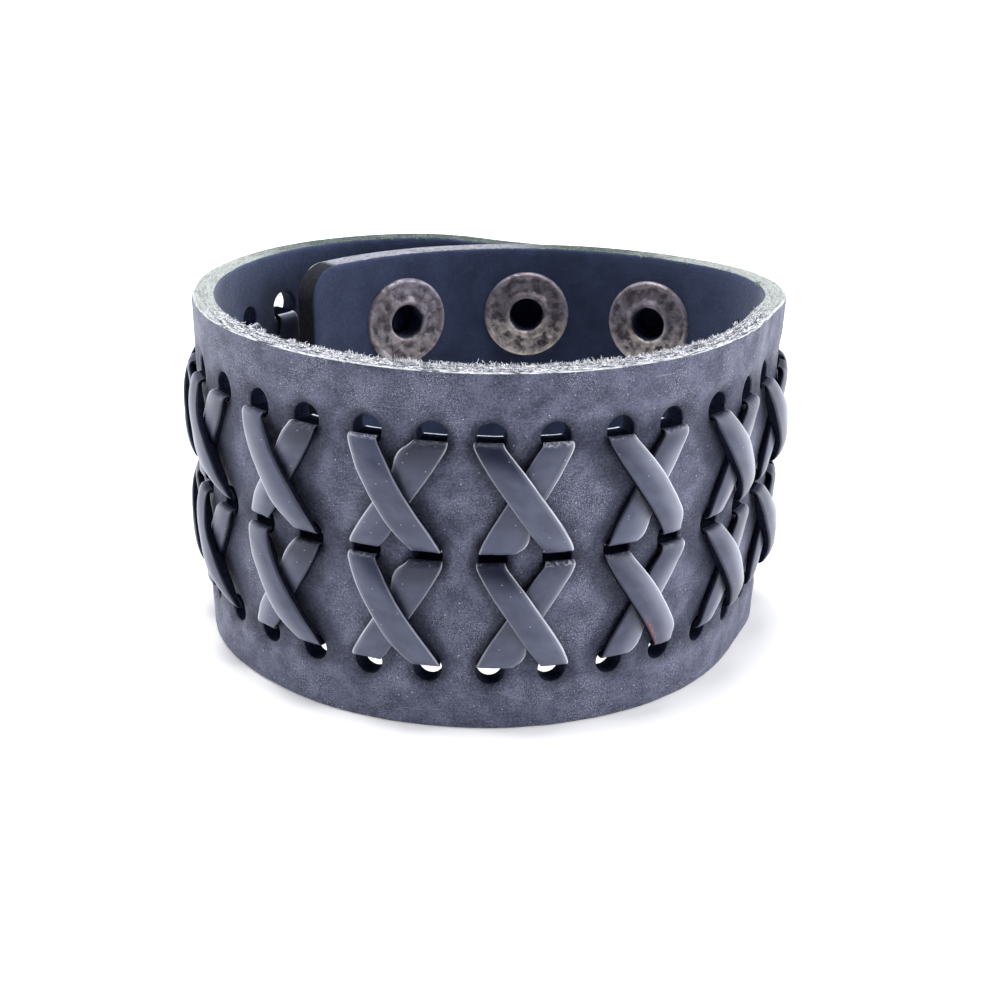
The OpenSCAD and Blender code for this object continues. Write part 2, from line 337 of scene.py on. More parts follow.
def rawEdge():
    # the knife-cut edge, left raw: pale matted fibre with thin dark fissures along it round the
    # front, green-grey at the back, painted dark on the upright ends for the shade that lies there
    look = edgeLook
    material, tree, shader = newMaterial("rawCutEdge", Roughness=0.95)
    tufts = addNode(tree, "TexNoise", placeIn(tree, 0.42, (1.3, 1, 0.55)), 1.0, 4.0, 0.7, None, 1.2)
    fissure = addNode(tree, "TexNoise", placeIn(tree, 0.45, (5, 1, 0.5), 9.0), 1.0, 3.0, 0.6, None, 0.7)
    patch = addNode(tree, "TexNoise", placeIn(tree, 2.2, shift=15.0), 1.0, 3.0, 0.55)
    along, up, rise = layerOf(tree, "place")
    # the front of the loop reaches further to the right than to the left
    away = addNode(tree, "Math", along, 5.0, operation="SUBTRACT")
    away = addNode(tree, "Math", away, operation="ABSOLUTE")
    away = addNode(tree, "Math", patch, 10.0, away, operation="MULTIPLY_ADD")
    tones = [edgeTone(tree, k, away, along, up) for k in (0, 1)]
    base = twoTones(tree, tufts, 0.43, 0.58, tones[::-1])
    # painted highlight: the outer lip shows as a thin pale line, as if catching light from behind
    lip = addNode(tree, "MapRange", rise, -0.42, -0.2, **smooth)
    lip = fadedBy(tree, lip, up, 39.2, 39.7)
    lip = fadedBy(tree, lip, patch, 0.3, 0.6, 0.35, 0.85)
    # the fissures show less from the bends on
    cracks = addNode(tree, "MapRange", fissure, 0.49, 0.42, **smooth)
    cracks = fadedBy(tree, cracks, away, 38.0, 50.0, 0.9, 0.3)
    base = layTones(tree, base, look, {"lip": lip, "fissure": cracks})
    feed(tree, shader.inputs["Base Color"], base)
    bumps = addNode(tree, "Math", tufts, fissure, operation="ADD")
    feed(tree, shader.inputs["Normal"], addNode(tree, "Bump", 1.0, 0.22 * mm, None, bumps))
    return material


hollowLook = {
    # from dark to light
    # all of these are painted shade: hole walls, lace deep in its holes and eyelet bores
    "punched": ("#0c0e1b", "#1b2035"), "punchedGloss": "#8f9be0",
    "laceShade": ("#12141f", "#1c1f2f"), "bore": ("#3b3e55", "#4e526c"),
}


def punchedWall():
    # inside of a punched hole: painted dark navy for the shade inside it, slightly burnished by the punch
    material, tree, shader = newMaterial("punchedHoleWall", Roughness=0.95,
                                         Specular_Tint=hollowLook["punchedGloss"])
    grain = addNode(tree, "TexNoise", placeIn(tree, 0.3), 1.0, 3.0, 0.55)
    feed(tree, shader.inputs["Base Color"], twoTones(tree, grain, 0.35, 0.65, hollowLook["punched"]))
    feed(tree, shader.inputs["Normal"], addNode(tree, "Bump", 1.0, 0.08 * mm, None, grain))
    return material


def laceInShade():
    # painted shade: lace deep in its hole and down its shaded cut sides, drawn near black and
    # without gloss for the shade there
    material, tree, shader = newMaterial("laceInPaintedShade", Roughness=1.0, Specular_IOR_Level=0.0)
    grain = addNode(tree, "TexNoise", placeIn(tree, 0.4), 1.0, 3.0, 0.55)
    feed(tree, shader.inputs["Base Color"], twoTones(tree, grain, 0.35, 0.65, hollowLook["laceShade"]))
    return material


def boreInShade():
    # painted shade: the rough bore of an eyelet and the hollow of a stud, dark and without gloss
    material, tree, shader = newMaterial("boreInPaintedShade", Roughness=1.0, Specular_IOR_Level=0.0)
    grain = addNode(tree, "TexNoise", placeIn(tree, 0.5), 1.0, 3.0, 0.55)
    feed(tree, shader.inputs["Base Color"], twoTones(tree, grain, 0.35, 0.65, hollowLook["bore"]))
    return material


laceLook = {
    # four tones are painted light and shade: pale side light, dark shade below a fold, bright edge
    # highlight and black in the holes
    "dark": "#343749", "light": "#474b5e", "sideLight": "#a3a6b5", "gloss": "#d6daee",
    "crack": "#c2c4cf", "underFoldShade": "#15182a", "edge": "#e4e7f2", "raw": "#a1574a", "fleck": "#c4c6ce",
    "throat": "#04060d", "roughness": 0.36,
}


def laceMarks(tree, grain, broken, cracks, rim, throat):
    # what use left on it, and painted light and shade, from the first laid to the last
    crazed = addNode(tree, "Math", cracks, 0.8, operation="MULTIPLY")
    # painted side light towards the edge that faces it, painted shade below a fold
    glow, shade, split = layerOf(tree, "light")
    glow = addNode(tree, "Math", glow, 0.8, operation="MULTIPLY")
    underFoldShade = fadedBy(tree, shade, broken, 0.8, 0.55)
    # painted highlight along the edges, broken up along its length
    streak = addNode(tree, "TexNoise", placeIn(tree, 0.5, (0.25, 6, 1), 8.0), 1.0, 2.0, 0.55)
    shine = fadedBy(tree, rim, streak, 0.3, 0.5, 0.45, 1.0)
    raw = fadedBy(tree, split, grain, 0.45, 0.6)
    spots = addNode(tree, "Math", flecksAt(tree, 1.3, 0.07, 0.14, 5.0), 0.7, operation="MULTIPLY")
    # throat here is painted shade: in the holes, down the cut sides and where the lace above shuts out the
    # light
    return {"crack": crazed, "sideLight": glow, "underFoldShade": underFoldShade, "edge": shine, "raw": raw,
            "fleck": spots, "throat": throat}


def laceLeather():
    # skived calf lace, dyed and polished: smooth satin grey with painted highlights on its cut
    # edges, painted shade in its holes and pale crazing where it folds over the lip of a hole
    look = laceLook
    material, tree, shader = newMaterial("polishedCalfLace", Coat_Weight=0.08, Coat_Roughness=0.35,
                                         Specular_Tint=look["gloss"])
    cloud = addNode(tree, "TexNoise", placeIn(tree, 2.6), 1.0, 3.0, 0.55)
    grain = addNode(tree, "TexNoise", placeIn(tree, 0.22, shift=4.0), 1.0, 2.0, 0.55)
    broken = addNode(tree, "TexNoise", placeIn(tree, 0.34, (1.6, 0.6, 1), 13.0), 1.0, 4.0, 0.75, None, 1.5)
    # crazing at folds, a painted edge highlight and painted shade
    fold, rim, throat = layerOf(tree, "wear")
    cracks = addNode(tree, "MapRange", fold, 0.35, 0.95, **smooth)
    cracks = fadedBy(tree, cracks, broken, 0.47, 0.6)
    base = twoTones(tree, cloud, 0.3, 0.7, (look["dark"], look["light"]))
    base = layTones(tree, base, look, laceMarks(tree, grain, broken, cracks, rim, throat))
    feed(tree, shader.inputs["Base Color"], base)
    rough = addNode(tree, "MapRange", cloud, 0.3, 0.7, look["roughness"] - 0.05, look["roughness"] + 0.06,
                    **smooth)
    rough = addNode(tree, "Math", cracks, 0.3, rough, operation="MULTIPLY_ADD")
    feed(tree, shader.inputs["Roughness"], rough)
    bumps = addNode(tree, "Bump", 1.0, 0.012 * mm, None, grain)
    creases = addNode(tree, "Math", fold, broken, operation="MULTIPLY")
    bumps = addNode(tree, "Bump", 1.0, 0.12 * mm, None, creases, bumps)
    feed(tree, shader.inputs["Normal"], bumps)
    return material


# the low tone is a painted reflection of the white card on the lower half of each ring
metalLook = {"pale": "#98939f", "warm": "#8d8488", "dark": "#544e57", "low": "#e2d7cf", "roughness": 0.5}


def antiqueCopper():
    # stamped brass with an antique copper finish: dark oxide lies in the hollows and the
    # raised lips are rubbed to a mauve-beige
    look = metalLook
    material, tree, shader = newMaterial("antiqueCopperPlate", Metallic=0.55)
    blot = addNode(tree, "TexNoise", placeIn(tree, 1.15), 1.0, 2.0, 0.5, None, 0.3)
    fine = addNode(tree, "TexNoise", placeIn(tree, 0.28, shift=6.0), 1.0, 3.0, 0.55)
    tone = addNode(tree, "TexNoise", placeIn(tree, 3.0, shift=2.0), 1.0, 2.0, 0.55)
    bright = twoTones(tree, tone, 0.35, 0.65, (look["pale"], look["warm"]))
    oxide = addNode(tree, "Math", fine, 0.5, operation="SUBTRACT")
    oxide = addNode(tree, "Math", oxide, 0.25, blot, operation="MULTIPLY_ADD")
    # painted reflection of the white card: the lower half of each ring is paler than the upper
    rubbed, low, _ = layerOf(tree, "wear")
    bright = layTones(tree, bright, look, {"low": low})
    share = addNode(tree, "MapRange", oxide, 0.3, 0.68, **smooth)
    share = addNode(tree, "Math", share, rubbed, operation="ADD", use_clamp=True)
    feed(tree, shader.inputs["Base Color"],
         addNode(tree, "Mix", share, look["dark"], bright, data_type="RGBA"))
    feed(tree, shader.inputs["Roughness"], addNode(
        tree, "MapRange", oxide, 0.35, 0.6, look["roughness"] + 0.25, look["roughness"], **smooth))
    bumps = addNode(tree, "Bump", 1.0, 0.03 * mm, None, fine)
    bumps = addNode(tree, "Bump", 1.0, 0.15 * mm, None, blot, bumps)
    feed(tree, shader.inputs["Normal"], bumps)
    return material


# Meshes.

def newPiece(name, points, faces, materials, slot, kinds=None, **layers):
    mesh = bpy.data.meshes.new(name)
    mesh.from_pydata((np.asarray(points) * mm).tolist(), [], faces)
    for material in materials:
        mesh.materials.append(material)
    if kinds is not None:
        mesh.polygons.foreach_set("material_index", kinds)
    mesh.polygons.foreach_set("use_smooth", [True] * len(mesh.polygons))
    for key, values in layers.items():
        layer = mesh.attributes.new(key, "FLOAT_VECTOR", "POINT")
        layer.data.foreach_set("vector", np.asarray(values, np.float32).ravel())
    mesh.update()
    piece = bpy.data.objects.new(name, mesh)
    bpy.context.scene.collection.objects.link(piece)
    if slot:
        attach(piece, "root")
    return piece


def ringFaces(a, b, closed=True):
    # quads between two rows of vertices of the same length
    n = len(a)
    return [(a[i], a[(i + 1) % n], b[(i + 1) % n], b[i]) for i in range(n if closed else n - 1)]


def strapOutline(step):
    # the strap laid flat: points along its cut edge, and the way into the leather at each
    low, high, r = -leftLength, rightLength, strap["cornerRadius"]
    top = strap["height"]
    points, inward = [], []

    def run(start, end, way):
        count = max(2, round(math.dist(start, end) / step))
        for i in range(count):
            t = i / count
            points.append((start[0] + (end[0] - start[0]) * t, start[1] + (end[1] - start[1]) * t))
            inward.append(way)

    def corner(cx, cz, first):
        count = round(r * math.pi / 2 / step)
        for i in range(count):
            a = math.radians(first + 90 * i / count)
            points.append((cx + r * math.cos(a), cz + r * math.sin(a)))
            inward.append((-math.cos(a), -math.sin(a)))

    run((low + r, 0), (high - r, 0), (0, 1))
    corner(high - r, r, -90)
    run((high, r), (high, top - r), (-1, 0))
    corner(high - r, top - r, 0)
    run((high - r, top), (low + r, top), (0, -1))
    corner(low + r, top - r, 90)
    run((low, top - r), (low, r), (1, 0))
    corner(low + r, r, 180)
    return np.array(points), np.array(inward)


bandLook = {
    "edgeStep": 0.34, "outerGrid": 0.7, "innerGrid": 0.95,      # spacing of the points
    "aroundLace": 40, "aroundSnap": 48,     # points round a hole
    "rimGap": 0.75, "holeGap": 1.3,         # how far the grid keeps off the edge and the holes
    "waviness": 0.13, "fuzz": 0.085,
    "pressDepth": 0.25, "pressReach": 1.3,  # how far a lace draws the leather in round its hole
    "endSag": 0.85,                         # how far the outer end's top edge hangs
    # inset from the cut edge and rise, from the outer face round to the inner one
    "edgeProfile": [(0.45, 0.0), (0.27, -0.02), (0.12, -0.08), (0.03, -0.18), (0.0, -0.3)]
    + [(0.0, -0.3 - 0.2 * k) for k in range(1, 10)]
    + [(0.0, -2.3), (0.05, -2.42), (0.16, -2.53), (0.34, -2.6)],
}
outerKind, innerKind, edgeKind, wallKind = 0, 1, 2, 3


def stepsDown(radius, lip, top, bottom, lipBelow=0.2):
    # a hole's wall from the outer face to the inner one, both lips rounded
    return ([(radius + lip, top), (radius + lip * 0.5, top - lip * 0.12),
             (radius + lip * 0.15, top - lip * 0.45), (radius, top - lip)]
            + [(radius, top - lip + (bottom + lipBelow - top + lip) * t) for t in (0.3, 0.6, 1.0)]
            + [(radius + lipBelow * 0.3, bottom + lipBelow * 0.35), (radius + lipBelow, bottom)])


def strapHoles():
    # every hole: its place, how many points go round it, and its profile as radius and rise
    bottom = -strap["thick"]
    holes = []
    for i in range(lacing["holes"]):
        for row, z in enumerate(lacing["rows"]):
            radius = lacing["wideHole"] if (i, row) == (0, 0) else lacing["holeRadius"]
            holes.append((holeAt(i, row), z, bandLook["aroundLace"], stepsDown(radius, 0.3, 0, bottom)))
    studSeat = [(4.72, 0.0), (4.58, -0.06), (4.55, -0.2), (4.55, -0.5), (2.55, -0.5), (2.55, -1.2),
                (2.55, -2.0), (2.57, -2.5), (2.65, bottom)]
    socketSeat = [(1.75, 0.0), (1.6, -0.08), (1.55, -0.3), (1.55, -1.0), (1.55, -1.8), (4.95, -1.8),
                  (4.95, -2.3), (5.0, -2.5), (5.15, bottom)]
    for s in snaps["places"]:
        holes += [(s, z, bandLook["aroundSnap"], studSeat) for z in snaps["heights"]]
    holes += [(-snaps["socketPlace"], z, bandLook["aroundSnap"], socketSeat) for z in snaps["heights"]]
    return holes


def addRow(sheet, flat, rise):
    # points of the strap laid flat
    first = len(sheet["points"])
    sheet["points"].extend((s, z, rise) for s, z in flat)
    return range(first, len(sheet["points"]))


def addFaces(sheet, faces, kind):
    # kind is the face's material: outer, inner, edge or wall
    sheet["faces"].extend(faces)
    sheet["kinds"].extend([kind] * len(faces))


def addCutEdge(sheet):
    # rows from the outer face round to the inner one, roughened by matted fibre
    outline, inward = strapOutline(bandLook["edgeStep"])
    rows = []
    for inset, rise in bandLook["edgeProfile"]:
        fuzz = soft(0.2, 0.5, -rise) * soft(strap["thick"] - 0.02, strap["thick"] - 0.3, -rise)
        spots = [(k * bandLook["edgeStep"], rise * 3.0, 0.0) for k in range(len(outline))]
        depth = (lumps(spots, 1.3) * 0.7 + lumps(spots, 0.5, 5.0)) * bandLook["fuzz"] * fuzz
        depth += (random.random() - 0.5) * 0.02 * fuzz
        rows.append(addRow(sheet, outline + inward * (inset + depth)[:, None], rise))
    for k, (a, b) in enumerate(zip(rows, rows[1:])):
        kind = outerKind if k < 2 else innerKind if k > len(rows) - 4 else edgeKind
        addFaces(sheet, [face[::-1] for face in ringFaces(a, b)], kind)
    return rows[0], rows[-1]


def addHoles(sheet):
    # the walls; returns the holes' mouths in the outer face and in the inner one
    outer, inner = [], []
    for s, z, n, steps in strapHoles():
        turn = np.arange(n) * 2 * math.pi / n
        ring = np.stack([np.cos(turn), np.sin(turn)], 1)
        loops = [addRow(sheet, np.array([s, z]) + ring * r, rise) for r, rise in steps]
        for k, (a, b) in enumerate(zip(loops, loops[1:])):
            kind = outerKind if k < 2 else innerKind if k == len(loops) - 2 else wallKind
            addFaces(sheet, ringFaces(a, b), kind)
        outer.append((s, z, steps[0][0], loops[0]))
        inner.append((s, z, steps[-1][0], loops[-1]))
    return outer, inner


def facePoints(holes, grid):
    # rings of points close round each hole, then an uneven grid over the rest
    points = []
    for s, z, r, _ in holes:
        for wider, n in ((0.25, 36), (0.6, 30), (0.95, 26)):
            points.extend((s + (r + wider) * math.cos(a * 2 * math.pi / n),
                           z + (r + wider) * math.sin(a * 2 * math.pi / n)) for a in range(n))
    middle, reach = np.array([hole[:2] for hole in holes]), np.array([hole[2] for hole in holes])
    pick = random.Random(5)
    low, high, corner = -leftLength, rightLength, strap["cornerRadius"]
    for i in range(1, int((high - low) / grid)):
        for j in range(1, int(strap["height"] / grid)):
            s = low + (i + 0.5 * (j % 2)) * grid + pick.uniform(-0.1, 0.1) * grid
            z = j * grid + pick.uniform(-0.1, 0.1) * grid
            endways = max(low + corner - s, s - high + corner, 0)
            upways = max(corner - z, z - strap["height"] + corner, 0)
            clear = np.hypot(middle[:, 0] - s, middle[:, 1] - z) > reach + bandLook["holeGap"]
            if math.hypot(endways, upways) <= corner - bandLook["rimGap"] and np.all(clear):
                points.append((s, z))
    return points


def addFace(sheet, border, holes, rise, grid, inside):
    # one face of the strap, triangulated between the edge and the holes
    owner, lines = [], []
    for loop in (border, *(hole[3] for hole in holes)):
        first = len(owner)
        owner.extend(loop)
        lines.extend((first + i, first + (i + 1) % len(loop)) for i in range(len(loop)))
    owner.extend(addRow(sheet, facePoints(holes, grid), rise))
    flat = [Vector(sheet["points"][i][:2]) for i in owner]
    where, _, tris, origin, *_ = delaunay_2d_cdt(flat, lines, [], 1, 1e-7)
    where, tris = np.array([(p.x, p.y) for p in where]), np.array(tris)
    centre = where[tris].mean(1)
    keep = np.ones(len(tris), bool)
    for s, z, r, _ in holes:
        keep &= np.hypot(centre[:, 0] - s, centre[:, 1] - z) > r * 0.995
    a, b, c = (where[tris[:, k]] for k in range(3))
    area = (b[:, 0] - a[:, 0]) * (c[:, 1] - a[:, 1]) - (b[:, 1] - a[:, 1]) * (c[:, 0] - a[:, 0])
    faces = []
    for tri, wound, use in zip(tris.tolist(), area, keep):
        if use and abs(wound) > 1e-9:
            face = tuple(owner[origin[v][0]] for v in tri)
            faces.append(face if (wound > 0) != inside else face[::-1])
    addFaces(sheet, faces, innerKind if inside else outerKind)


def pressedRound(place):
    # how far the leather is drawn in, and how dark its painted shade lies, mostly on the outer side of
    # each lace hole
    pressed = np.zeros(len(place))
    for i in range(lacing["holes"]):
        for row, z in enumerate(lacing["rows"]):
            here = holeAt(i, row)
            outward = 0.55 * math.tanh(here / 14) + (-0.2 if i % 2 == 0 else 0.2)
            away = np.hypot(place[:, 0] - here - outward, place[:, 1] - z)
            rim = lacing["holeRadius"]
            pressed = np.maximum(pressed, soft(rim + bandLook["pressReach"], rim, away))
    return pressed


def shadedBeside(place):
    # how dark the leather is beside the laces, on their side that faces the front: a thin
    # line at the front, a wide shade round the sides
    trails = laceTrails()
    shaded = np.zeros(len(place))
    for v in np.nonzero(place[:, 2] > -0.5)[0]:
        away = trails.find((place[v, 0], place[v, 1], 0))[2]
        wide = abs(math.tanh(place[v, 0] / 30))
        shaded[v] = soft(2.5 + 1.6 * wide, 1.7 + 0.3 * wide, away)
    return shaded


def makeBand(materials):
    sheet = {"points": [], "faces": [], "kinds": []}
    rims, mouths = addCutEdge(sheet), addHoles(sheet)
    addFace(sheet, rims[0], mouths[0], 0.0, bandLook["outerGrid"], False)
    addFace(sheet, rims[1], mouths[1], -strap["thick"], bandLook["innerGrid"], True)
    place = np.array(sheet["points"])
    # painted shade in the dents round the holes, which also sink the face, and painted shadow beside the
    # laces
    pressed, shaded = pressedRound(place), shadedBeside(place)
    # the faces are never quite flat
    wave = (lumps(place * (1, 1, 0), 9.0, 2.0) + 0.4 * lumps(place, 3.0, 4.0)) * bandLook["waviness"]
    rise = place[:, 2] + wave * soft(-1.8, 0.0, place[:, 2]) + 0.5 * wave * soft(-0.8, -2.6, place[:, 2])
    rise -= bandLook["pressDepth"] * pressed * soft(-1.0, 0.0, place[:, 2])
    # the hidden outer end sags a little, so it hardly shows above the strap it lies on
    place[:, 1] -= bandLook["endSag"] * soft(-88.0, -106.0, place[:, 0]) * soft(35.5, 40.0, place[:, 1])
    band = newPiece("band", strapPoint(place[:, 0], place[:, 1], rise), sheet["faces"], materials,
                    "band_leather", sheet["kinds"], place=place,
                    wear=np.stack([pressed, shaded, np.zeros(len(place))], 1))
    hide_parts("band")


# Laces.

laceForm = {
    "stations": 4,          # between neighbouring control points
    "stray": 0.15,          # the most that a leg bows sideways
    "roll": 0.16,           # how far an over lace rolls on its way
    "sag": 0.42,            # share of its height that its underside sags by, round the sides
    "dents": 0.05, "creases": 0.09,
}

# Half of a lace's way between two holes: travel up or down, height of its middle over the
# leather, width, how far it is still cupped to the hole (1) or flat (0), and how far it
# buckles back up where it turns down out of an upper hole at the front.
underHalf = [
    (0.0, -0.6, 2.8, 1.0, 0.0), (0.0, -0.1, 2.85, 1.0, 0.12), (0.0, 0.25, 3.0, 0.85, 0.35),
    (0.1, 0.46, 3.1, 0.6, 0.45), (0.45, 0.55, 3.25, 0.35, 0.35), (0.9, 0.55, 3.4, 0.15, 0.2),
    (1.5, 0.53, 3.55, 0.0, 0.05), (2.4, 0.52, 3.7, 0.0, 0.0), (3.7, 0.52, 3.75, 0.0, 0.0)]
overHalf = [
    (0.0, -0.6, 2.8, 1.0, 0.0), (0.0, -0.1, 2.85, 1.0, 0.12), (0.0, 0.25, 3.0, 0.85, 0.38),
    (0.1, 0.47, 3.1, 0.6, 0.45), (0.45, 0.65, 3.25, 0.35, 0.36), (0.9, 0.85, 3.4, 0.15, 0.2),
    (1.5, 1.07, 3.55, 0.0, 0.07), (2.4, 1.33, 3.7, 0.0, 0.0), (3.6, 1.5, 3.75, 0.0, 0.0)]
# how dark the painted shade lies below the fold, by hole
foldShade = {7: 1.0, 8: 0.1, 9: 1.0, 10: 1.0, 11: 0.25, 12: 0.6}
# how much wider a lower lace spreads beside its fold, by hole
spreads = {6: 0.4, 7: 0.4, 8: 0.5, 9: 1.25, 10: 1.3, 11: 0.3, 12: 0.8}
# how far the middle of an outside leg strays sideways, by lace and first hole
strays = {("upperOver", 8): -0.3, ("lowerOver", 8): -0.3}

# Half a section, from the middle of the free face round to the middle of the leather face:
# share of half the width, share of half the thickness, brightness of the painted edge
# highlight, and how dark the painted shade lies on the cut side.
sectionHalf = [
    (0.0, 1.0, 0, 0), (0.34, 0.985, 0, 0), (0.62, 0.96, 0, 0), (0.84, 0.9, 0, 0), (0.9, 0.85, 0.15, 0),
    (0.935, 0.79, 0.9, 0), (0.97, 0.62, 1, 0), (0.99, 0.4, 0.7, 0.3), (1.0, 0.1, 0, 0.85),
    (0.985, -0.6, 0, 0.9), (0.92, -0.9, 0, 0.6), (0.6, -1.0, 0, 0.2), (0.0, -1.0, 0, 0)]


def isTop(i, over):
    # whether a lace goes through the upper of its two holes at i
    return (i % 2 == 0) == over


def lacePass(i, row, over):
    # where a lace's middle goes through its hole i, pulled to the cross's side
    if isTop(i, over):
        return holeAt(i, row), lacing["rows"][row] - lacing["seat"]
    return holeAt(i, row + 1), lacing["rows"][row + 1] + lacing["seat"]


def laceHalf(i, row, over, outside, toward):
    # half a leg, from hole i: travel, rise, width, cup, shade under the fold and offset
    here, top = lacePass(i, row, over)[0], isTop(i, over)
    sides = float(soft(12.0, 38.0, abs(here))) * outside
    spread = spreads.get(i, 0.2) * outside * (not over)
    dark = foldShade.get(i, 0.5) * outside * top
    half = []
    for t, r, w, c, b in (overHalf if over else underHalf):
        # round the sides the lower ends narrow to a point that lies towards the front
        narrow = 0 if top else w * (0.5 if over else 0.35) * sides * float(soft(2.6, 0.3, t))
        wider = spread * float(soft(0, 0.4, r) * soft(-0.3, 0.4, t) * soft(3.4, 0.7, t))
        shade = dark * float(soft(0.0, 0.5, t + b) * soft(2.8, 0.8, t))
        buckled = b * (1 - sides) * outside * top
        offset = toward * wider / 2 - math.copysign(narrow / 2, here)
        half.append((t - buckled, r, w - narrow + wider, c, shade, offset))
    return half


def laceLeg(i, row, over, stray):
    # from hole i to the next one, on the outer face from every even hole
    outside = i % 2 == 0
    (s0, z0), (s1, z1) = lacePass(i, row, over), lacePass(i + 1, row, over)
    reach = abs(z1 - z0)
    first, second = laceHalf(i, row, over, outside, 1), laceHalf(i + 1, row, over, outside, -1)
    steps = [(*step, 1) for step in first]
    steps.append((reach / 2, first[-1][1] + (0.04 if over else 0.0), 3.75, 0.0, 0.0, 0.0, 0))
    steps += [(reach - step[0], *step[1:], -1) for step in second[::-1]]
    leg = []
    for t, r, w, c, shade, offset, end in steps:
        part = t / reach
        bow = math.sin(math.pi * part)
        leg.append((s0 + (s1 - s0) * part + stray * bow + offset, z0 + (z1 - z0) * part,
                    r if outside else -strap["thick"] - r, w, c, laceForm["roll"] * end * bow * over,
                    shade, offset))
    return leg


def laceTail(i, row, over):
    # the end of a lace, tucked flat on the inner face
    s, z = lacePass(i, row, over)
    way = -1 if isTop(i, over) else 1
    steps = [step[:4] for step in underHalf[:-1]]
    steps += [(lacing["tail"] * 0.7, 0.52, 3.6, 0), (lacing["tail"], 0.5, 3.5, 0)]
    return [(s, z + way * t, -strap["thick"] - r, w, c, 0.0, 0.0, 0.0) for t, r, w, c in steps]


def laceControls(row, over, name):
    # s, z, rise, width, cup, roll, shade under a fold and offset from the hole, along one lace
    last = lacing["holes"] - 1
    pick, bow = random.Random(row * 2 + over), laceForm["stray"]
    way = laceTail(0, row, over)[::-1]
    for i in range(last + 1):
        way.append((*lacePass(i, row, over), -strap["thick"] / 2, 2.8, 1.0, 0.0, 0.0, 0.0))
        if i < last:
            way += laceLeg(i, row, over, strays.get((name, i), pick.uniform(-bow, bow)))
    return np.array(way + laceTail(last, row, over))


def splineThrough(controls, parts):
    # uniform cubic B-spline, parts stations between neighbouring control points
    padded = np.vstack([2 * controls[0] - controls[1], controls, 2 * controls[-1] - controls[-2]])
    out = []
    for k in range(len(controls) - 1):
        a, b, c, d = padded[k:k + 4]
        for j in range(parts):
            t = j / parts
            out.append(((1 - t) ** 3 * a + (3 * t ** 3 - 6 * t ** 2 + 4) * b
                        + (-3 * t ** 3 + 3 * t ** 2 + 3 * t + 1) * c + t ** 3 * d) / 6)
    out.append(controls[-1])
    return np.array(out)


def laceTrails():
    # the outside legs' middle lines, moved towards the front, for a nearest search
    spots = []
    for row in (0, 1):
        for over in (True, False):
            for s, z, rise, *_ in splineThrough(laceControls(row, over, ""), 3):
                if rise > 0.1:
                    spots.append((s - (1.7 if over else 1.2) * math.tanh(s / 14), z, 0))
    tree = kdtree.KDTree(len(spots))
    for i, spot in enumerate(spots):
        tree.insert(spot, i)
    tree.balance()
    return tree


def laceRun(row, over, name):
    # all that changes along a lace, at each of its stations
    way = splineThrough(laceControls(row, over, name), laceForm["stations"])
    s, z, rise, width, cup, roll, shade, offset = way.T
    step = np.gradient(way[:, :3], axis=0)
    along = step[:, 1:3] / np.linalg.norm(step[:, 1:3], axis=1)[:, None]
    bends = np.abs(np.gradient(np.unwrap(np.arctan2(along[:, 1], along[:, 0]))))
    bends = np.convolve(bends, np.ones(5) / 5, "same")
    sideways, outer = np.tanh(s / 16), soft(0.2, 0.5, rise)
    rawS, rawZ = lacing["raw"]
    return SimpleNamespace(
        s=s, z=z, rise=rise, width=width, cup=cup, roll=roll, shade=shade, offset=offset,
        length=np.concatenate([[0], np.cumsum(np.linalg.norm(np.diff(way[:, :3], axis=0), axis=1))]),
        # the free side: outward on an outside leg, and the open side of a hole
        free=np.stack([along[:, 1], -along[:, 0]], 1) * (1 if over else -1),
        fold=np.clip(bends / 0.3 - 0.15, 0, 1),
        # painted shade deep in a hole where no light reaches; a thin painted highlight where it bends out
        # inside
        throat=soft(0.12, -0.2, rise) * soft(-2.78, -2.5, rise),
        sliver=soft(-2.5, -2.66, rise) * soft(-3.0, -2.8, rise),
        sideways=sideways, outer=outer,
        # painted side light, from the bends to the first crosses at the front
        lit=sideways ** 4 * outer * soft(58, 47, np.abs(s)),
        # one lace is split raw and reddish along its edge near a lower hole
        split=soft(2.6, 1.2, np.abs(z - rawZ)) * (np.abs(s - rawS) < 4) * outer * over,
        above=z - (lacing["rows"][row] + lacing["rows"][row + 1]) / 2)


def laceLine(run, over, x, y):
    # the line along a lace at one point of its section
    across = x * run.width / 2
    halfThick = lacing["thick"] / 2
    flat = y * halfThick + (0.05 + 0.12 * np.abs(run.sideways) * run.outer) * (y > 0) * (1 - x * x)
    if over and y < 0:
        # the underside sags to the leather, or to the lace below where they cross
        support = 0.08 + 0.95 * soft(2.5, 2.05, np.abs(across - 1.26 * run.above))
        sag = np.maximum(run.rise - halfThick - support, 0) * soft(0.75, 0.95, np.abs(run.sideways))
        flat -= laceForm["sag"] * sag * run.outer * soft(0.05, -0.6, y)
    # in a hole the leather side follows the round lip and the free side stays nearly flat
    holeReach = lacing["holeRadius"] - 0.05
    reach = np.minimum(np.abs(across + run.offset), holeReach)
    lip = lacing["seat"] - np.sqrt(holeReach ** 2 - reach ** 2)
    top = halfThick - 0.03 + 0.06 * x * x
    share = (y + 1) / 2
    cupped = np.minimum(lip, top - 0.05) * (1 - share) + top * share
    deep = flat * (1 - run.cup) + cupped * run.cup + run.roll * x
    return strapPoint(run.s + across, run.z + deep * run.free[:, 0], run.rise + deep * run.free[:, 1])


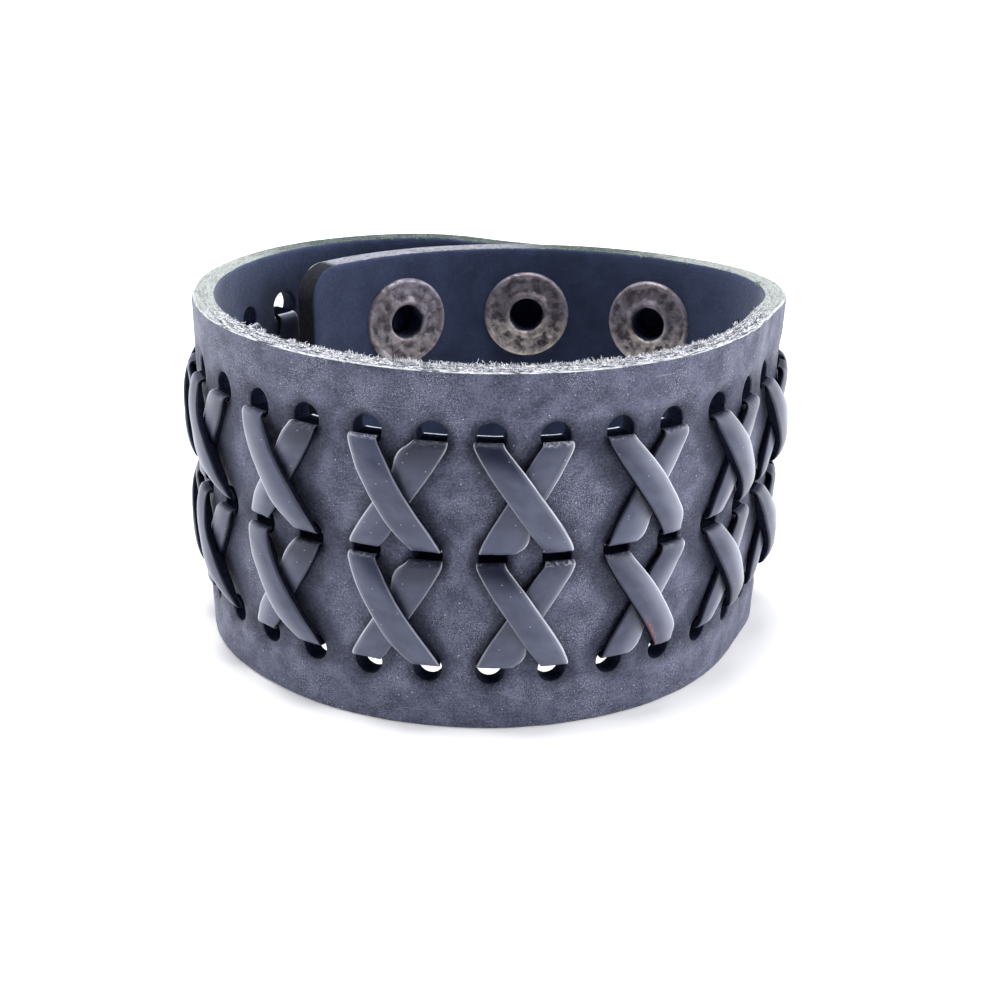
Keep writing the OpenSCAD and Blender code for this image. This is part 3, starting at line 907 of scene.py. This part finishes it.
def laceWear(run, over, x, y, edge, sideShade):
    # how folded it is along that line, its painted edge highlight and painted shade; its painted
    # side light, painted shade under a fold and where it is split raw
    side, beyond = np.abs(run.sideways) * run.outer, x * np.sign(run.sideways)
    # painted highlight on edges that face away from the front, painted shade on the others
    away = np.sign(x) * run.sideways
    bright = np.maximum(edge * (0.45 + 0.45 * away), run.sliver * (y > 0.3))
    bright = np.maximum(bright, 0.9 * soft(0.8, 0.93, beyond) * side * (y > 0.5))
    dark = np.maximum(sideShade * np.clip(0.75 - 0.5 * away, 0, 1), run.throat)
    dark = np.maximum(dark, 0.8 * soft(0.84, 0.97, -beyond) * side)
    if not over:
        # the lace above shuts out the light beside itself, on the side towards the front
        beside = x * run.width / 2 + 1.27 * run.above
        shut = soft(1.3, 0.1, np.abs(beside) - 1.8) * (beside * run.sideways < 0) * side
        dark = np.maximum(dark, 0.9 * shut * (y > 0))
    # painted side light on the part that faces it
    glow = run.lit * soft(-0.4, 1.0, beyond) * (y > 0.6)
    return (np.stack([run.fold * (y > 0.1), bright, dark], 1),
            np.stack([glow, run.shade * (y > 0), run.split * (x < -0.7) * (y > -0.5)], 1))


def laceFaces(run, section):
    # quads round it and a cap at each end; painted black shade in the holes, and down the cut
    # sides that face the front
    n, m = len(section), len(run.s)
    faces, kinds = [], []
    for k in range(m - 1):
        faces += ringFaces(range(k * n, k * n + n), range(k * n + n, k * n + 2 * n))
        for i in range(n):
            x, y = (np.array(section[i][:2]) + section[(i + 1) % n][:2]) / 2
            cutSide = y < 0.5 and x * run.sideways[k] < -0.15 and run.outer[k] > 0.3
            kinds.append(int(run.throat[k] + run.throat[k + 1] > 1.0 or cutSide))
    return faces + [tuple(range(n))[::-1], tuple(range((m - 1) * n, m * n))], kinds + [0, 0]


def makeLace(row, over, name, node, materials):
    run = laceRun(row, over, name)
    section = sectionHalf + [(-x, *rest) for x, *rest in sectionHalf[-2:0:-1]]
    n, m = len(section), len(run.s)
    lines, places, wears, lights = [], [], [], []
    for x, y, edge, sideShade in section:
        lines.append(laceLine(run, over, x, y))
        across = x * run.width / 2 + row * 40 + over * 90      # so that no two laces look alike
        places.append(np.stack([across, run.length, np.full(m, y / 2)], 1))
        wear, light = laceWear(run, over, x, y, edge, sideShade)
        wears.append(wear)
        lights.append(light)
    points, place, wear, light = (np.stack(a, 1).reshape(-1, 3) for a in (lines, places, wears, lights))
    # leather gives a little: faint dents along it and creases at the folds
    dents = lumps(place, 1.8, row + over * 3.0) * laceForm["dents"]
    dents += lumps(place, 0.45, 9.0) * laceForm["creases"] * wear[:, 0]
    dents *= np.tile([part[1] > 0 for part in section], m)
    s, z, rise, upward, outward = (np.repeat(a, n) for a in (run.s, run.z, run.rise, *run.free.T))
    points += (strapPoint(s, z + upward, rise + outward) - strapPoint(s, z, rise)) * dents[:, None]
    faces, kinds = laceFaces(run, section)
    if over:
        faces = [face[::-1] for face in faces]
    lace = newPiece(name, points, faces, materials, "lace_leather", kinds, place=place, wear=wear,
                    light=light)
    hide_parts(node)


# Snap pieces.

def makeTurned(name, node, frameAt, profile, materials, turns=96, rub=None, relief=None, low=0.0):
    # a turned piece on the snap's axis; profile is radius and height outward, rub is how far
    # each row is polished bare (-1 is the bore, in painted shade), relief lifts points by what it
    # returns and low is how much paler a painted reflection makes the lower half
    rub = rub or [snaps["rubbed"]] * len(profile)
    points, faces, wears, kinds = [], [], [], []
    for k, (r, h) in enumerate(profile):
        for a in np.arange(turns) * 2 * math.pi / turns:
            lift = relief(k, a) if relief else 0.0
            points.append((r * math.cos(a), r * math.sin(a), h + lift))
            wears.append((rub[k], low * float(soft(0.3, -0.9, math.sin(a))), 0))
    for k in range(len(profile) - 1):
        faces += ringFaces(range(k * turns, (k + 1) * turns), range((k + 1) * turns, (k + 2) * turns))
        kinds += [int(rub[k] + rub[k + 1] < -1.5)] * turns
    if profile[0] != profile[-1] and profile[0][0] > 0:
        faces += ringFaces(range(len(points) - turns, len(points)), range(turns))
        kinds += [0] * turns
    world = np.array([frameAt @ Vector(p) for p in points])
    shift = sum(ord(c) for c in name) % 97 * 3.7     # so that no two are marked alike
    piece = newPiece(name, world, faces, materials, "snap_metal", kinds, place=np.array(points) + shift,
                     wear=wears)
    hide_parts(node)


def eyeletProfile():
    # radius, height inward of the leather, how rubbed; from the shank up through the flared
    # throat, over the dimpled face and round the rolled lip to the back of the flange
    big, bore = snaps["eyeletRadius"], snaps["boreRadius"]
    rows = [
        (2.5, 0.0, -0.5), (2.5, -2.9, -1.0), (bore, -2.9, -1.0), (bore, -1.6, -1.0), (bore, -0.6, -1.0),
        (bore, 0.2, -1.0), (bore + 0.02, 0.55, -0.6), (bore + 0.1, 0.78, 0.1), (bore + 0.24, 0.9, 0.35),
        (bore + 0.42, 0.93, 0.3), (bore + 0.62, 0.86, 0.2), (bore + 0.82, 0.72, 0.1),
        (bore + 1.0, 0.6, 0.0)]
    rows += [(big - 0.75 - 0.2 * k, 0.54, -0.05) for k in range(7, 0, -1)]
    rows += [
        (big - 0.75, 0.58, 0.0), (big - 0.6, 0.68, 0.2), (big - 0.42, 0.74, 0.35), (big - 0.24, 0.7, 0.4),
        (big - 0.08, 0.55, 0.3), (big, 0.35, 0.2), (big, 0.12, 0.1), (big - 0.1, 0.0, 0)]
    face = -strap["thick"] + 0.05
    return [(r, face - h) for r, h, rub in rows], [rub for r, h, rub in rows]


def eyeletDents(profile, seed):
    # shallow dents stamped in the flat of the ring
    def lift(k, a):
        r, h = profile[k]
        flat = soft(snaps["boreRadius"] + 0.7, snaps["boreRadius"] + 1.1, r) * soft(5.0, 4.6, r)
        spot = Vector((r * math.cos(a), r * math.sin(a), seed))
        dents = noise.noise(spot / 0.95) + 0.4 * noise.noise(spot / 0.4)
        return float(dents * (0.16 * flat + 0.03) * soft(-2.6, -2.9, h))
    return lift


def studProfile():
    # from the hollow shank over the flange and the neck to the ball, and back inside
    shank = [(2.55, -0.45)]
    outside = [
        (4.3, -0.45), (4.46, -0.38), (4.5, -0.2), (4.46, -0.05), (4.3, 0.0), (3.1, 0.0), (2.85, 0.05),
        (2.76, 0.2), (2.78, 0.38), (2.92, 0.5), (3.0, 0.62), (2.97, 0.78), (2.85, 0.92), (2.6, 1.0),
        (1.2, 1.0), (0.9, 0.94), (0.0, 0.93)]
    hollow = [(0.0, 0.6), (2.55, 0.6), (2.55, -0.45)]
    return shank + outside + hollow, [-1.0] + [snaps["rubbed"]] * len(outside) + [-1.0] * len(hollow)


def socketProfile(seat):
    # a ring with rounded outer corners, on the inner face
    return [
        (3.6, seat - 1.0), (3.75, seat - 1.0), (4.6, seat - 1.0), (4.82, seat - 0.92), (4.9, seat - 0.75),
        (4.9, seat - 0.1), (4.8, seat), (3.7, seat), (3.6, seat - 0.1), (3.6, seat - 1.0)]


def capProfile(seat):
    # the stem that holds the socket, then the domed head
    cap = snaps["capRadius"]
    stem = [
        (0.0, seat - 0.25), (1.9, seat - 0.25), (2.0, seat - 0.15), (2.0, seat), (1.5, seat), (1.5, 0.12)]
    head = [
        (0.15, 0.12), (0.0, 0.22), (0.0, 0.4), (0.12, 0.55), (0.35, 0.72), (0.8, 0.98), (1.4, 1.2),
        (2.3, 1.38), (3.6, 1.52), (5.0, 1.58), (cap, 1.6)]
    return stem + [(cap - inset, h) for inset, h in head]


def makeSnaps(metal):
    # both rows: three eyelets with their studs, one socket and its cap
    seat = -strap["thick"] + snaps["socketDepth"]
    for level, (z, word) in enumerate(zip(snaps["heights"], ("top", "low"))):
        for i, s in enumerate(snaps["places"]):
            here = strapFrame(s, z)
            profile, rub = eyeletProfile()
            makeTurned(f"{word}Eyelet{i + 1}", f"{word}_eyelet_{i + 1}", here, profile, metal, rub=rub,
                       relief=eyeletDents(profile, level * 7.0 + i * 3.0), low=snaps["lowerLight"][i])
            profile, rub = studProfile()
            makeTurned(f"{word}Stud{i + 1}", f"{word}_stud_{i + 1}", here, profile, metal, turns=72,
                       rub=rub)
        here = strapFrame(-snaps["socketPlace"], z)
        makeTurned(f"{word}Socket", f"{word}_socket", here, socketProfile(seat), metal, turns=72)
        makeTurned(f"{word}Cap", f"{word}_cap", here, capProfile(seat), metal)


# Loose fibres.

fibreLook = {
    "front": 330, "back": 46, "perClump": 9,     # clumps, and the most hairs in one
    "radius": 0.042, "curl": 0.17, "innerShare": 0.8,
    "frontReach": (-38, 49, 4),                  # from, to, and where they stand closest
    "backTufts": (-88, -83, 66, 72, 78, 58),     # where a few pale tufts show at the back
    "dull": "#9da1ad", "pale": "#ffffff", "atBack": "#8b9794",
}


def fibreTrack(base, way, axis, reach, radius, count=7):
    # a hair that curls round its axis as it grows
    track, here, step = [], base.copy(), reach / (count - 1)
    for j in range(count):
        track.append((here.copy(), radius * (1 - 0.4 * j / (count - 1))))
        here = here + way * step
        way = (Matrix.Rotation(step / fibreLook["curl"], 3, axis) @ way).normalized()
        if here.y < strap["height"] - 0.15:
            way.y = abs(way.y)
    return track


def fibreClump(pick, front):
    # the hairs of one clump; most clumps stand on the inner side of the edge
    if front:
        middle = pick.triangular(*fibreLook["frontReach"])
    else:
        middle = pick.choice(fibreLook["backTufts"]) + pick.gauss(0, 0.5)
    inside = pick.random() < fibreLook["innerShare"]
    rise = -pick.uniform(1.7, 2.5) if inside else -pick.uniform(0.3, 2.0)
    lean = Vector((pick.gauss(0, 0.8), pick.uniform(0.2, 1.0), pick.gauss(0, 0.4) - 0.5 * inside))
    hairs = []
    for _ in range(pick.randint(fibreLook["perClump"] // 2, fibreLook["perClump"])):
        s = middle + pick.gauss(0, 0.35)
        base = Vector((s, strap["height"] - 0.08, min(max(rise + pick.gauss(0, 0.16), -2.56), -0.1)))
        way = lean + Vector((pick.gauss(0, 0.5), pick.gauss(0, 0.4), pick.gauss(0, 0.5)))
        axis = Vector((pick.gauss(0, 1), pick.gauss(0, 0.5), pick.gauss(0, 1))).normalized()
        reach = pick.uniform(0.35, 1.0) * (1 - abs(middle) / 100) if front else pick.uniform(0.3, 0.7)
        radius = fibreLook["radius"] * pick.uniform(0.7, 1.25)
        hairs.append(fibreTrack(base, way.normalized(), axis, reach, radius))
    return hairs


def makeFibres(material):
    pick = random.Random(31)
    hairs = []
    for k in range(fibreLook["front"] + fibreLook["back"]):
        hairs += fibreClump(pick, k < fibreLook["front"])
    points, faces, places = [], [], []
    for hair in hairs:
        first = len(points)
        for p, thin in hair:
            for a in (0, 2.1, 4.2):     # each hair is three-sided
                ahead, aside = thin * math.cos(a), thin * math.sin(a)
                points.append((p.x + ahead, p.y + aside * 0.7, p.z + aside))
                places.append((p.x, p.y, p.z))
        for j in range(first, len(points) - 3, 3):
            faces += ringFaces(range(j, j + 3), range(j + 3, j + 6))
    flat = np.array(points)
    world = strapPoint(flat[:, 0], flat[:, 1], flat[:, 2])
    newPiece("edgeFibres", world, faces, [material], "band_leather", place=places)


def looseFibre():
    # single hairs of hide raised along the cut edge, undyed and almost white
    look = fibreLook
    material, tree, shader = newMaterial("raisedHideFibre", Roughness=0.85)
    tone = addNode(tree, "TexNoise", placeIn(tree, 0.5), 1.0, 2.0, 0.55)
    base = twoTones(tree, tone, 0.36, 0.6, (look["dull"], look["pale"]))
    away = addNode(tree, "Math", layerOf(tree, "place")[0], operation="ABSOLUTE")
    away = addNode(tree, "MapRange", away, 30.0, 60.0, **smooth)
    feed(tree, shader.inputs["Base Color"], layTones(tree, base, look, {"atBack": away}))
    return material


# Floor, light and camera.

floorLook = {"reach": 2600.0, "cells": 24, "drop": 0.02, "tones": ("#f4f4f3", "#f6f6f6"), "glow": 0.2}


def whiteCard():
    # matt white card on a light table: a little glow from below thins the shadows
    material, tree, shader = newMaterial("whiteCard", Roughness=0.9, Specular_IOR_Level=0.1,
                                         Emission_Color="#ffffff", Emission_Strength=floorLook["glow"])
    place = addNode(tree, "TexCoord").outputs["Object"]
    tone = addNode(tree, "TexNoise", place, 40.0, 2.0)
    base = addNode(tree, "Mix", tone, *floorLook["tones"], data_type="RGBA")
    feed(tree, shader.inputs["Base Color"], base)
    return material


def makeFloor():
    cells = floorLook["cells"]
    line = np.linspace(-floorLook["reach"], floorLook["reach"], cells + 1)
    points = [(x, y, -floorLook["drop"]) for y in line for x in line]
    rows = [range(j * (cells + 1), (j + 1) * (cells + 1)) for j in range(cells + 1)]
    faces = [face for a, b in zip(rows, rows[1:]) for face in ringFaces(a, b, closed=False)]
    floor = newPiece("floor", points, faces, [whiteCard()], None)


lightLook = {
    "tent": "#f7f7fb", "gap": "#3c3e47",             # walls of the light tent, its open side
    "strength": 0.72, "sides": 6.8, "rear": 0.42,    # of the walls, and times this at sides and back
    "rightward": 0.07,                               # how much further the right wall reaches
    "card": "#ffffff", "cardStrength": 1.1,
    "overhead": (-60.0, 40.0, 620.0),                # mm
    "overheadSize": 300.0, "overheadPower": 4.5,     # mm, watts
}


def makeLights():
    look = lightLook
    world = bpy.data.worlds.new("whiteTent")
    bpy.context.scene.world = world
    world.use_nodes = True
    tree = world.node_tree
    back = tree.nodes["Background"]
    way = addNode(tree, "TexCoord").outputs["Generated"]
    east, north, up = addNode(tree, "SeparateXYZ", way).outputs
    # the tent is open towards the camera, so less light comes from there; its side walls are
    # the brightest, the right one a little more so, and fade towards the back
    sideways = addNode(tree, "Math", east, look["rightward"], operation="ADD")
    sideways = addNode(tree, "Math", sideways, operation="ABSOLUTE")
    closed = addNode(tree, "Math", addNode(tree, "MapRange", north, -0.6, 0.15, **smooth),
                     addNode(tree, "MapRange", sideways, 0.65, 0.9, **smooth), operation="MAXIMUM")
    tone = addNode(tree, "Mix", closed, look["gap"], look["tent"], data_type="RGBA")
    # the card runs on white to the horizon all round
    horizon = addNode(tree, "MapRange", up, 0.09, 0.03, **smooth)
    tone = addNode(tree, "Mix", horizon, tone, look["card"], data_type="RGBA")
    feed(tree, back.inputs["Color"], tone)
    bright = look["strength"] * look["sides"]
    walls = addNode(tree, "MapRange", sideways, 0.5, 0.9, look["strength"], bright, **smooth)
    walls = fadedBy(tree, walls, north, 0.5, 0.05, look["rear"], 1.0)
    horizon = addNode(tree, "Math", horizon, look["cardStrength"], operation="MULTIPLY")
    feed(tree, back.inputs["Strength"], addNode(tree, "Math", walls, horizon, operation="MAXIMUM"))
    lamp = bpy.data.lights.new("overhead", "AREA")
    lamp.shape, lamp.size, lamp.energy = "DISK", look["overheadSize"] * mm, look["overheadPower"]
    holder = bpy.data.objects.new("overhead", lamp)
    holder.location = Vector(look["overhead"]) * mm
    bpy.context.scene.collection.objects.link(holder)


cameraLook = {
    "place": (10.48, -186.13, 90.96),    # mm
    "turn": 2.906, "dip": 22.11, "roll": -1.334,     # degrees
    "focalPixels": 1708.17, "imageHeight": 1000, "sensor": 36.0,
}


def makeCamera():
    turn, dip, roll = (math.radians(cameraLook[k]) for k in ("turn", "dip", "roll"))
    forward = Vector((-math.sin(turn) * math.cos(dip), math.cos(turn) * math.cos(dip), -math.sin(dip)))
    level = Vector((math.cos(turn), math.sin(turn), 0))
    above = level.cross(forward)
    right = level * math.cos(roll) - above * math.sin(roll)
    up = level * math.sin(roll) + above * math.cos(roll)
    data = bpy.data.cameras.new("camera")
    data.sensor_fit = "AUTO"
    data.sensor_width = cameraLook["sensor"]
    data.lens = cameraLook["focalPixels"] * cameraLook["sensor"] / cameraLook["imageHeight"]
    data.clip_start, data.clip_end = 0.005, 20.0
    holder = bpy.data.objects.new("camera", data)
    holder.matrix_world = Matrix.Translation(Vector(cameraLook["place"]) * mm) @ \
        Matrix((right, up, -forward)).transposed().to_4x4()
    bpy.context.scene.collection.objects.link(holder)
    bpy.context.scene.camera = holder
    bpy.context.scene.view_settings.view_transform = "Standard"


random.seed(4)
print("camera, light and floor")
makeCamera()
makeLights()
makeFloor()
print("band")
makeBand([oiledNubuck(), fleshSide(), rawEdge(), punchedWall()])
print("laces")
laceFinish = [laceLeather(), laceInShade()]
for row, word in enumerate(("upper", "lower")):
    makeLace(row, True, word + "Over", word + "_lace_over", laceFinish)
    makeLace(row, False, word + "Under", word + "_lace_under", laceFinish)
print("snaps")
makeSnaps([antiqueCopper(), boreInShade()])
print("fibres")
makeFibres(looseFibre())
